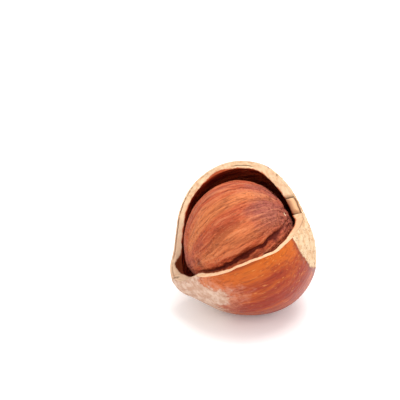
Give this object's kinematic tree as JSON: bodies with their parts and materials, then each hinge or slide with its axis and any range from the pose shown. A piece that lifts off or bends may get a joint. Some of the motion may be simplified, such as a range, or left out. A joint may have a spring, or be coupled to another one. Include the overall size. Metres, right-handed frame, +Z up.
{
  "type": "opened hazelnut",
  "caption": "Hazelnut lying on its side with a lengthwise wedge of its woody shell broken away, and the brown furrowed kernel resting inside.",
  "frame": {"origin": "middle of the small flat spot on the closed side of the shell, which the nut rests on", "axes": "+Z up; the nut's tip points to -X and slightly down, its scar to +X and up, and the broken opening faces up and towards -Y"},
  "size_m": [0.0209, 0.022, 0.0207],
  "materials": {
    "shell_wood": "smooth glossy brown husk with soft lengthwise streaks; pale fibrous broken edge, pale rough scar at the base and grey down at the tip",
    "kernel_skin": "thin dry papery terracotta skin with fine lengthwise ridges and darker furrows"
  },
  "bodies": {
    "root": {"shell": "shell_wood", "kernel": "kernel_skin"}
  },
  "joints": []
}
